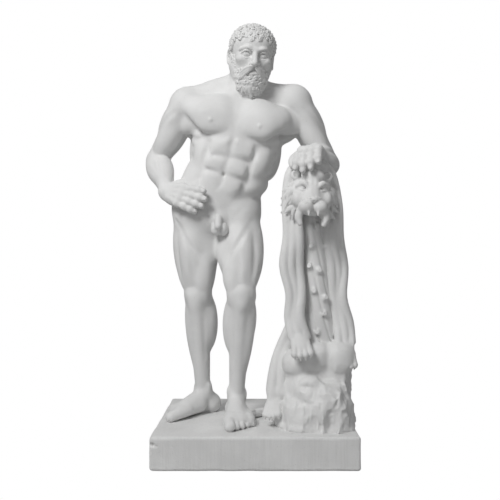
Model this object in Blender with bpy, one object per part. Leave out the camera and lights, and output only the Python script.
"""A hercules statue: a bearded hero stands beside a rock, one hand on his hip, the other on a
knotty club hung with a lion's pelt. Figure, rock, club, pelt and plinth are one cast.
Metres, +Z up, the front faces -Y, the origin is the middle of the plinth's underside."""

import bmesh
import bpy
import numpy as np
from mathutils import Matrix, Vector

# Sizes of the cast
FIGURE_HEIGHT = 0.336
PLINTH_WIDTH = 0.161
PLINTH_DEPTH = 0.137
PLINTH_HEIGHT = 0.0264
PLINTH_EDGE = 0.0016
PLINTH_EDGE_STEPS = 2

# The figure's places and thicknesses are in parts of its height, 390 from the plinth to the crown
HEIGHT_PARTS = 390.0
PART = FIGURE_HEIGHT / HEIGHT_PARTS
# The forms are joined on a grid of this many parts, and each is grown by what the smoothing takes off
GRID_PARTS = 1.55
GROWTH_PARTS = 0.75
SMOOTH_STEPS = 5
FIGURE_TRIANGLES = 8900

STONE_COLOUR = (0.80, 0.79, 0.76, 1.0)
STONE_ROUGHNESS = 0.75


def point(*p):
    return np.array(p, float)


def unit(v):
    v = np.asarray(v, float)
    return v / np.linalg.norm(v)


def turned(lean=0.0, turn=0.0, nod=0.0):
    """Degrees: lean tips the top to +X, turn swings the front to +X, nod tips the top forwards."""
    a, b, c = np.radians([lean, turn, nod])
    about_y = np.array([[np.cos(a), 0, np.sin(a)], [0, 1, 0], [-np.sin(a), 0, np.cos(a)]])
    about_z = np.array([[np.cos(b), -np.sin(b), 0], [np.sin(b), np.cos(b), 0], [0, 0, 1]])
    about_x = np.array([[1, 0, 0], [0, np.cos(c), -np.sin(c)], [0, np.sin(c), np.cos(c)]])
    return about_y @ about_z @ about_x


class Clay:
    """Collects ellipsoids and tapered rods, in parts of the height, as Blender primitives."""

    def __init__(self):
        self.mesh = bmesh.new()

    def egg(self, centre, radii, axes=None):
        """An ellipsoid; the columns of axes are the directions of its three radii."""
        axes = np.eye(3) if axes is None else axes
        grown = np.asarray(radii, float) + GROWTH_PARTS
        place = Matrix.Identity(4)
        for row in range(3):
            for column in range(3):
                place[row][column] = axes[row][column] * grown[column] * PART
            place[row][3] = centre[row] * PART
        bmesh.ops.create_icosphere(self.mesh, subdivisions=3, radius=1.0, matrix=place)

    def rod(self, start, end, first, last):
        """A rod with round ends, first and last being its radii."""
        start, end = np.asarray(start, float), np.asarray(end, float)
        length = np.linalg.norm(end - start)
        turn = Vector(end - start).to_track_quat("Z", "Y").to_matrix().to_4x4()
        place = Matrix.Translation(Vector((start + end) / 2 * PART)) @ turn
        bmesh.ops.create_cone(
            self.mesh, cap_ends=True, cap_tris=False, segments=20, depth=length * PART, matrix=place,
            radius1=(first + GROWTH_PARTS) * PART, radius2=(last + GROWTH_PARTS) * PART)
        self.egg(start, (first,) * 3)
        self.egg(end, (last,) * 3)

    def tube(self, points, radii):
        for step in range(len(points) - 1):
            self.rod(points[step], points[step + 1], radii[step], radii[step + 1])

    def belly(self, start, end, width, thickness, normal):
        """A muscle: an ellipsoid drawn from start to end, its thickness along the normal."""
        start, end = np.asarray(start, float), np.asarray(end, float)
        along = unit(end - start)
        out = unit(normal - (normal @ along) * along)
        axes = np.column_stack([along, np.cross(out, along), out])
        self.egg((start + end) / 2, (np.linalg.norm(end - start) * 0.5, width, thickness), axes)


class Frame:
    """A place on the body with its own right, back and up directions."""

    def __init__(self, origin, lean=0.0, turn=0.0, nod=0.0):
        self.axes = turned(lean, turn, nod)
        self.origin = point(*origin)

    def at(self, x, y, z):
        return self.origin + self.axes @ point(x, y, z)

    def way(self, x, y, z):
        return self.axes @ point(x, y, z)

    def egg(self, clay, centre, radii, tilt=(0, 0, 0)):
        clay.egg(self.at(*centre), radii, self.axes @ turned(*tilt))


class Bone:
    """A limb's bone: p gives the place a share along it, moved out to its side and to its front."""

    def __init__(self, start, end, front, side):
        self.start, self.end = start, end
        along = unit(end - start)
        self.front = unit(point(*front) - (point(*front) @ along) * along)
        across = np.cross(along, self.front)
        self.out = across if across[0] * side > 0 else -across

    def p(self, share, out=0.0, fore=0.0):
        return self.start + (self.end - self.start) * share + self.out * out + self.front * fore

    def belly(self, clay, first, last, width, thickness, facing):
        """A muscle from first to last, each a (share, out, fore); facing is (out, fore)."""
        normal = self.out * facing[0] + self.front * facing[1]
        clay.belly(self.p(*first), self.p(*last), width, thickness, normal)


# The pose: the weight is on the hero's right leg, on the viewer's left
PELVIS = Frame((-38, 3, 204), lean=-5, turn=4)
CHEST = Frame((-19, 2, 278), lean=8, turn=-3)
WAIST = Frame((-30, 2.5, 240), lean=16, turn=1)
HEAD = Frame((-3, -9, 356), lean=5, turn=10, nod=12)
RIGHT_LEG = (point(-59, 4, 198), point(-57, 0, 120), point(-53, 12, 25))
LEFT_LEG = (point(-17, 0, 193), point(-13, -24, 120), point(-18, -14, 25))
RIGHT_ARM = (point(-68, 8, 311), point(-101, 27, 259), point(-87, -8, 222))
LEFT_ARM = (point(39, 6, 313), point(74, 12, 252), point(58, -28, 259))
CLUB_TOP = point(51, -33, 244)
CLUB_FOOT = point(63, -21, 66)
CLUB_RADII = (8.0, 18.0)


def torso(clay):
    CHEST.egg(clay, (0, 1, 2), (42, 27, 48))
    CHEST.egg(clay, (0, 5, 30), (47, 18, 17))
    clay.egg((CHEST.at(0, 0, -30) + PELVIS.at(0, 0, 22)) / 2, (39, 24, 34))
    PELVIS.egg(clay, (0, 1, -3), (44, 25, 27))
    for s in (-1, 1):
        # back
        CHEST.egg(clay, (s * 30, 12, -2), (16, 16, 36), (-s * 9, 0, 0))
        CHEST.egg(clay, (s * 22, 16, 22), (20, 10, 16), (s * 12, 0, 0))
        clay.rod(CHEST.at(s * 8, 20, 22), PELVIS.at(s * 9, 18, 8), 6.5, 9)
        PELVIS.egg(clay, (s * 20, 13, -14), (20, 19, 21))
        PELVIS.egg(clay, (s * 30, 6, 8), (15, 17, 15))
        # shoulder line and collar bone
        clay.belly(CHEST.at(0, 8, 56), CHEST.at(s * 48, 8, 36), 14, 10, CHEST.way(0, 0.3, 1))
        clay.rod(CHEST.at(s * 5, -12, 38), CHEST.at(s * 40, 0, 41), 3.5, 3.5)
        # breast
        CHEST.egg(clay, (s * 19, -19.5, 11), (20, 9.5, 15), (s * 6, -s * 4, -4))
        CHEST.egg(clay, (s * 25, -17.5, 18), (22, 9, 14), (s * 16, -s * 8, 0))
        CHEST.egg(clay, (s * 36, -10, 23), (18, 10, 12), (s * 24, -s * 20, 0))
        # belly plates, ribs and flank
        CHEST.egg(clay, (s * 10.6, -20.8, -15.5), (11.2, 5.6, 8.4))
        WAIST.egg(clay, (s * 10.4, -21.0, 6.0), (11.0, 5.6, 8.6))
        WAIST.egg(clay, (s * 9.8, -20.6, -11.5), (10.4, 5.6, 9.0))
        for rib in range(3):
            near = CHEST.at(s * (33 - rib), -15 + 1.2 * rib, -8 - 10 * rib)
            clay.belly(near, CHEST.at(s * (43 - rib), 0, 2 - 10 * rib), 5.4, 4.4, CHEST.way(s * 0.8, -0.6, 0))
        CHEST.egg(clay, (s * 27, -13.5, -26), (10, 8, 17), (s * 18, s * 20, 0))
        clay.belly(CHEST.at(s * 32, -3, -34), PELVIS.at(s * 35, -2, 14), 16, 10, CHEST.way(s * 0.9, -0.3, 0))
        PELVIS.egg(clay, (s * 34, -5, 19), (13, 16, 9.5), (-s * 8, 0, 0))
    # lower belly and groin
    PELVIS.egg(clay, (0, -12, 17), (31, 14.5, 19))
    PELVIS.egg(clay, (0, -11.5, 6), (24, 14, 18))
    PELVIS.egg(clay, (0, -19, -10), (9, 8, 9))
    for s in (-1, 1):
        PELVIS.egg(clay, (s * 3.3, -25, -19), (5.2, 5.2, 6.6))
    clay.rod(PELVIS.at(0, -27, -10), PELVIS.at(-1, -31, -17), 3.9, 3.2)


def leg(clay, joints, side, front, foot_way):
    hip, knee, ankle = joints
    thigh = Bone(hip, knee, front, side)
    clay.rod(thigh.p(-0.05), thigh.p(1.0), 21, 12)
    thigh.belly(clay, (-0.14, 11, 2), (0.92, 7, 1), 14, 15, (1, 0.2))
    thigh.belly(clay, (-0.02, 1, 10), (0.93, 1, 7), 13, 13.5, (0.1, 1))
    thigh.belly(clay, (0.42, -8, 8), (1.02, -8, 5), 10, 9.5, (-0.6, 0.8))
    thigh.belly(clay, (0.40, 9, 8), (0.95, 8, 5), 9, 8.5, (0.6, 0.8))
    thigh.belly(clay, (-0.05, -10, -2), (0.78, -6, -3), 14, 15, (-1, 0.2))
    thigh.belly(clay, (-0.02, -5, -8), (1.0, -6, -7), 11, 12, (-0.2, -1))
    thigh.belly(clay, (-0.02, 6, -8), (1.0, 7, -7), 10.5, 11.5, (0.2, -1))
    clay.egg(thigh.p(1.0, 0, 7.5), (8.2, 6.5, 9.0))
    clay.egg(thigh.p(1.12, 0, 6.5), (5.0, 5.0, 6.0))
    for across in (-8, 8):
        clay.egg(thigh.p(0.98, across, 0), (5.5, 9, 9))
    shin = Bone(knee, ankle, front, side)
    clay.rod(shin.p(0), shin.p(1), 12, 7.2)
    clay.rod(shin.p(0.05, -1, 7.5), shin.p(0.95, 0.5, 2.5), 6, 4.6)
    shin.belly(clay, (-0.02, -6.5, -5), (0.62, -4, -4.5), 11, 12, (-0.7, -1))
    shin.belly(clay, (-0.02, 7, -5), (0.56, 4.5, -5), 10, 11, (0.7, -1))
    shin.belly(clay, (0.03, 8.5, 2), (0.78, 4, 1), 7.2, 7.5, (1, 0.4))
    clay.rod(shin.p(0.5, 0, -8), shin.p(1.02, 0, -7.5), 5, 3.8)
    for across in (-6.8, 6.8):
        clay.egg(shin.p(1.0, across, 0), (3.8, 4.4, 4.8))
    foot(clay, ankle, side, foot_way)


def foot(clay, ankle, side, way):
    ahead = unit(point(way[0], way[1], 0))
    out = point(ahead[1], -ahead[0], 0)
    out = out if out[0] * side > 0 else -out

    def at(along, across, height):
        return point(ankle[0], ankle[1], height) + ahead * along + out * across

    clay.egg(at(-10, 0, 8.5), (10.5, 10.5, 10.5))
    clay.rod(at(-2, 0, 18), at(22, -2, 10.5), 9.0, 7.0)
    clay.rod(at(8, 5, 7), at(30, 8.5, 5), 7.2, 5.5)
    clay.rod(at(8, -4, 9), at(33, -7, 7), 7.2, 6.6)
    clay.rod(at(-8, 3, 5), at(26, 9, 4), 7, 5.5)
    for toe in range(5):
        across = -9.6 + 5.25 * toe - (0 if toe else 0.8)
        base = 32 - 1.9 * toe - (1 if toe > 2 else 0)
        radius = 3.5 - 0.1 * toe + (0 if toe else 1.7)
        tip = base + 14 - 1.5 * toe
        clay.rod(at(base - 6, across * 0.92, 7.5), at(base + 5, across, 6.2), radius, radius)
        clay.rod(at(base + 5, across, 5.8), at(tip, across, radius * 0.85), radius, radius * 0.95)


def arm(clay, joints, side, front, fore_front):
    shoulder, elbow, wrist = joints
    upper = Bone(shoulder, elbow, front, side)
    clay.egg(shoulder + point(side, 0, 0), (18, 19, 18))
    upper.belly(clay, (-0.16, 0, 8), (0.60, 3, 6), 12, 12, (0.5, 1))
    upper.belly(clay, (-0.16, 4, 0), (0.68, 7, 0), 13, 12.5, (1, 0))
    upper.belly(clay, (-0.14, 2, -9), (0.60, 3, -6), 12, 12, (0.4, -1))
    clay.rod(upper.p(0), upper.p(1), 13.5, 10.5)
    # folds of the armpit, to the breast and to the back, and the top of the shoulder
    clay.belly(CHEST.at(side * 22, -17, 18), upper.p(0.36, -3, 6), 12.5, 8.5, CHEST.way(side * 0.2, -1, 0))
    clay.belly(CHEST.at(side * 27, 16, 6), upper.p(0.30, -4, -6), 13, 9, CHEST.way(side * 0.3, 1, 0))
    clay.rod(CHEST.at(side * 12, 5, 50), shoulder + point(0, 0, 7), 10, 10.5)
    upper.belly(clay, (0.10, -3, 6), (0.98, -1, 5), 11.5, 12, (-0.3, 1))
    upper.belly(clay, (0.06, 0, -6), (0.97, 0, -5), 12.5, 12, (0.1, -1))
    clay.egg(upper.p(1.0, 0, -6), (6.5, 6, 6.5))
    lower = Bone(elbow, wrist, fore_front, side)
    clay.rod(lower.p(0), lower.p(1), 11.5, 7.0)
    lower.belly(clay, (-0.12, 4.0, 3), (0.72, 2.5, 1.5), 11, 10.5, (0.7, 0.8))
    lower.belly(clay, (-0.05, -4.5, 3), (0.78, -2.5, 1.5), 10.5, 10.0, (-0.8, 0.5))
    lower.belly(clay, (0.0, 0, -5), (0.92, 0, -2), 9.5, 9, (0, -1))
    clay.egg(wrist, (8.0, 7.0, 7.0))


def hand(clay, wrist, way, palm, spread, side, bends, thumb):
    """way is where the fingers point, palm where the palm faces, bends the fingers' bends in radians."""
    ahead = unit(way)
    palm = unit(point(*palm) - (point(*palm) @ ahead) * ahead)
    across = np.cross(ahead, palm) * side

    def at(along, beside, depth):
        return wrist + ahead * along + across * beside + palm * depth

    for finger in range(4):
        beside = -8.0 + 5.3 * finger
        reach = 22.0 - abs(finger - 1.3) * 0.9
        clay.rod(at(1, beside * 0.5, 0), at(reach, beside, -0.5), 5.0, 4.3)
        length = (22, 25, 23.5, 18.5)[finger]
        joint = at(reach, beside, 0)
        for share, bend, radius in ((0.45, 1.0, 3.9), (0.32, 2.2, 3.5), (0.22, 3.1, 3.1)):
            angle = bends[finger] * bend
            step = unit(ahead * np.cos(angle) + palm * np.sin(angle) + across * (finger - 1.5) * spread)
            clay.rod(joint, joint + step * length * share, radius, radius - 0.4)
            joint = joint + step * length * share
    clay.egg(at(11, 0, 2.2), (12.5, 11.0, 5.2), np.column_stack([ahead, across, palm]))
    clay.tube([at(*place) for place in thumb], (6.0, 5.0, 4.2, 3.4))


def head(clay):
    clay.rod(CHEST.at(0, 4, 40), HEAD.at(0, 7, -8), 18.5, 17)
    HEAD.egg(clay, (0, 3, 7), (20, 24, 21))
    HEAD.egg(clay, (0, 3.6, 10.0), (22.4, 25.8, 21.4))
    HEAD.egg(clay, (0, -6, -7), (16.5, 16.0, 20))
    clay.rod(HEAD.at(0, -20.5, 5), HEAD.at(0, -26.4, -8.0), 2.4, 3.2)
    for s in (-1, 1):
        clay.rod(HEAD.at(s * 15, 8, -8), CHEST.at(s * 5, -12, 38), 5.0, 3.4)
        clay.rod(HEAD.at(s * 3.0, -21.6, 4.8), HEAD.at(s * 13.0, -17.0, 4.6), 2.2, 2.0)
        HEAD.egg(clay, (s * 10.5, -15.0, -5), (6.0, 5.5, 4.8))
        HEAD.egg(clay, (s * 20.4, 5, -3), (2.4, 5.0, 6.6))
        # beard at the cheek and jaw
        HEAD.egg(clay, (s * 12.5, -7, -15), (6.5, 9, 11))
        clay.rod(HEAD.at(s * 2, -23.5, -13.5), HEAD.at(s * 9.5, -20.5, -18.5), 2.8, 2.6)
    HEAD.egg(clay, (0, -13, -25), (14, 11.5, 13))
    HEAD.egg(clay, (0, -14, -34), (11.5, 9, 9.5))


def rock(clay):
    def lump(centre, radii, lean=0.0, turn=0.0):
        Frame(centre, lean=lean, turn=turn).egg(clay, (0, 0, 0), radii)

    lump((62, -8, 26), (29, 42, 40))
    lump((56, -34, 62), (17, 18, 16))
    lump((76, -34, 60), (16, 20, 18), turn=20)
    lump((40, -34, 57), (14, 16, 15))
    lump((80, -20, 44), (12, 28, 20))
    lump((44, -26, 30), (18, 26, 26), lean=12)
    lump((68, -50, 20), (22, 20, 22), turn=25)
    lump((44, -48, 10), (20, 18, 16))
    lump((35, -18, 10), (22, 26, 14))
    lump((66, 14, 34), (24, 28, 36))
    lump((80, -50, 10), (11, 20, 18))
    lump((58, 34, 10), (26, 22, 20))


def club(clay):
    clay.rod(CLUB_TOP, CLUB_FOOT, *CLUB_RADII)
    for knot in range(11):
        share = 0.25 + 0.065 * knot
        angle = 2.4 * knot
        radius = CLUB_RADII[0] + (CLUB_RADII[1] - CLUB_RADII[0]) * share
        beside = point(np.cos(angle), np.sin(angle), 0.15) * (radius - 0.5)
        clay.egg(CLUB_TOP + (CLUB_FOOT - CLUB_TOP) * share + beside, (3.6, 3.6, 4.4))


def paw(clay, centre, way, up):
    ahead = unit(way)
    up = unit(point(*up) - (point(*up) @ ahead) * ahead)
    across = np.cross(ahead, up)
    clay.egg(centre, (10, 8.5, 5), np.column_stack([ahead, across, up]))
    for toe in range(4):
        beside = across * (-6.6 + 4.4 * toe)
        reach = 10.5 - 1.2 * abs(toe - 1.5)
        clay.rod(centre + ahead * 3 + beside * 0.8, centre + ahead * reach + beside, 3.2, 3.0)


def pelt(clay):
    """The lion's pelt lies over the club's top and hangs down behind it and at both sides."""
    clay.egg((52, -29, 240), (17, 15, 10))
    clay.egg((52, -26, 226), (19, 16, 20))
    for fold in range(6):
        x = 38 + 5.6 * fold
        top = 245 - 1.6 * (fold - 2.5) ** 2
        line = [point(x + (1.2 + 1.7 * fold) * t, -16 + 17 * t ** 0.6, top - (top - 46) * t) for t in (0, 0.25, 0.5, 0.75, 1)]
        clay.tube(line, (5.0, 5.4, 5.4, 5.4, 5.0))
    # folds that close both sides, from the back to the forelegs
    for fold in range(3):
        y = -29 + 7 * fold
        clay.tube([point(66 - 2 * fold, y, 242), point(73, y, 200), point(77, y + 2, 140), point(80, y + 4, 84)],
                  (4.5, 5, 5, 5))
        clay.tube([point(42, y, 240), point(38.5, y, 200), point(38, y + 1, 140), point(38, y + 2, 84)],
                  (4.5, 5, 5, 5))
    # forelegs, each of rolled folds that end in a paw
    for shift in (-5.5, 0, 5.5):
        inner = [(47, -28, 246), (40, -34, 235), (34, -40, 208), (35, -42, 160), (37, -42, 110), (41, -46, 82)]
        clay.tube([point(x + shift * min(1, 0.4 + 0.3 * n), y, z) for n, (x, y, z) in enumerate(inner)], (4.4,) * 6)
        outer = [(58, -24, 246), (68, -29, 235), (75, -33, 204), (77, -32, 150), (81, -31, 108), (85, -37, 76)]
        clay.tube([point(x + shift * min(0.8, 0.4 + 0.2 * n), y, z) for n, (x, y, z) in enumerate(outer)], (4.2,) * 6)
    paw(clay, point(42, -51, 74), (0.15, -0.75, -0.65), (0, -0.7, 0.7))
    paw(clay, point(86, -42, 62), (0.05, -0.35, -1), (0.3, -1, 0.2))
    # hind leg over the rock's inner side, and the tail along the plinth to the heel
    clay.tube([point(42, -14, 100), point(30, -22, 74), point(23, -28, 50), point(19, -33, 28)], (7, 7, 6, 5.5))
    paw(clay, point(18, -38, 20), (-0.1, -0.55, -0.8), (-0.5, -0.8, 0.2))
    clay.tube([point(34, -4, 6), point(20, -1, 5), point(6, -4, 4.5), point(-6, -8, 5)], (5, 4.4, 4.0, 3.8))


def lion_head(clay):
    face = Frame((52, -50, 216), lean=3, turn=4, nod=-24)
    face.egg(clay, (0, 2, 10), (17.5, 14, 15))
    face.egg(clay, (0, -5, -6), (12, 11, 15))
    clay.rod(face.at(0, -9, 8), face.at(0, -12.5, -12), 5.0, 6.0)
    face.egg(clay, (0, 3, 2), (25, 9, 24))
    for s in (-1, 1):
        face.egg(clay, (s * 6.2, -10.5, -17), (6.6, 7, 6.4))
        clay.rod(face.at(s * 4, -12.5, 7), face.at(s * 12, -11, 9.5), 3.0, 2.8)
        face.egg(clay, (s * 12.5, -6, -4), (5.5, 6, 7))
        face.egg(clay, (s * 15.5, -1, 16), (4.6, 3.6, 5.6), (s * 25, 0, 0))
        clay.rod(face.at(s * 11, -6, -13), face.at(s * 11, -5, -24), 4.2, 3.2)


def modified(name, mesh, settings):
    """The mesh with these modifiers applied in turn, as a new mesh."""
    helper = bpy.data.objects.new(name, mesh)
    bpy.context.scene.collection.objects.link(helper)
    for kind, values in settings:
        modifier = helper.modifiers.new(kind.title(), kind)
        for key, value in values.items():
            setattr(modifier, key, value)
    bpy.context.view_layer.update()
    graph = bpy.context.evaluated_depsgraph_get()
    result = bpy.data.meshes.new_from_object(helper.evaluated_get(graph))
    bpy.data.objects.remove(helper)
    return result


def outer_shell(mesh):
    """The mesh without the sealed hollows that forms leave between them: only its largest shell."""
    body = bmesh.new()
    body.from_mesh(mesh)
    left = set(body.verts)
    shells = []
    while left:
        edge = [left.pop()]
        shell = list(edge)
        while edge:
            near = {e.other_vert(v) for v in edge for e in v.link_edges} & left
            left -= near
            shell += near
            edge = list(near)
        shells.append(shell)
    shells.sort(key=len)
    bmesh.ops.delete(body, geom=[v for shell in shells[:-1] for v in shell], context="VERTS")
    body.to_mesh(mesh)
    body.free()
    return mesh


def statue_mesh():
    clay = Clay()
    torso(clay)
    leg(clay, RIGHT_LEG, -1, (-0.35, -1, 0), (-0.75, -0.66))
    leg(clay, LEFT_LEG, 1, (0.1, -1, 0.1), (0.12, -1))
    arm(clay, RIGHT_ARM, -1, (-0.3, -1, 0), (-0.2, -1, 0.4))
    arm(clay, LEFT_ARM, 1, (0.2, -1, 0), (0.5, -0.6, 0.5))
    hand(clay, RIGHT_ARM[2], (0.72, -0.62, -0.22), (0.45, 0.85, -0.25), 0.07, -1, (0.12, 0.14, 0.18, 0.24),
         ((4, -7, 3), (10, -13, 6), (12, -17, 10), (11, -19, 15)))
    hand(clay, LEFT_ARM[2], (-0.30, -0.85, -0.12), (0.05, 0, -1), 0.09, 1, (0.42, 0.45, 0.42, 0.36),
         ((5, -8, 2), (13, -15, 4), (20, -17.5, 7.5), (25, -16.5, 12)))
    head(clay)
    rock(clay)
    club(clay)
    pelt(clay)
    lion_head(clay)
    bmesh.ops.translate(clay.mesh, verts=clay.mesh.verts, vec=(0, 0, PLINTH_HEIGHT))
    rough = bpy.data.meshes.new("forms")
    clay.mesh.to_mesh(rough)
    clay.mesh.free()
    joined = modified("joined", rough, (
        ("REMESH", {"mode": "VOXEL", "voxel_size": GRID_PARTS * PART}),
        ("SMOOTH", {"factor": 0.5, "iterations": SMOOTH_STEPS}),
        ("TRIANGULATE", {}),
    ))
    outer_shell(joined)
    share = FIGURE_TRIANGLES / len(joined.polygons)
    return modified("lightened", joined, (("DECIMATE", {"ratio": share}),))


def plinth_mesh():
    body = bmesh.new()
    middle = Matrix.Translation((0, 0, PLINTH_HEIGHT / 2))
    size = Matrix.Diagonal((PLINTH_WIDTH, PLINTH_DEPTH, PLINTH_HEIGHT, 1))
    bmesh.ops.create_cube(body, size=1.0, matrix=middle @ size)
    rounded = [edge for edge in body.edges if max(v.co.z for v in edge.verts) > PLINTH_HEIGHT / 2]
    bmesh.ops.bevel(body, geom=rounded, offset=PLINTH_EDGE, segments=PLINTH_EDGE_STEPS, profile=0.5,
                    affect="EDGES")
    mesh = bpy.data.meshes.new("plinth")
    body.to_mesh(mesh)
    body.free()
    return mesh


def stone():
    material = bpy.data.materials.new("cast stone")
    material.use_nodes = True
    shader = material.node_tree.nodes["Principled BSDF"]
    shader.inputs["Base Color"].default_value = STONE_COLOUR
    shader.inputs["Roughness"].default_value = STONE_ROUGHNESS
    return material


for old in list(bpy.data.objects):
    bpy.data.objects.remove(old)

figure = bpy.data.objects.new("figure_tool", statue_mesh())
bpy.context.scene.collection.objects.link(figure)
union = {"operation": "UNION", "solver": "EXACT", "object": figure}
whole = outer_shell(modified("whole", plinth_mesh(), (("BOOLEAN", union),)))
bpy.data.objects.remove(figure)

statue = bpy.data.objects.new("hercules_statue", whole)
bpy.context.scene.collection.objects.link(statue)
statue.data.materials.clear()
statue.data.materials.append(stone())
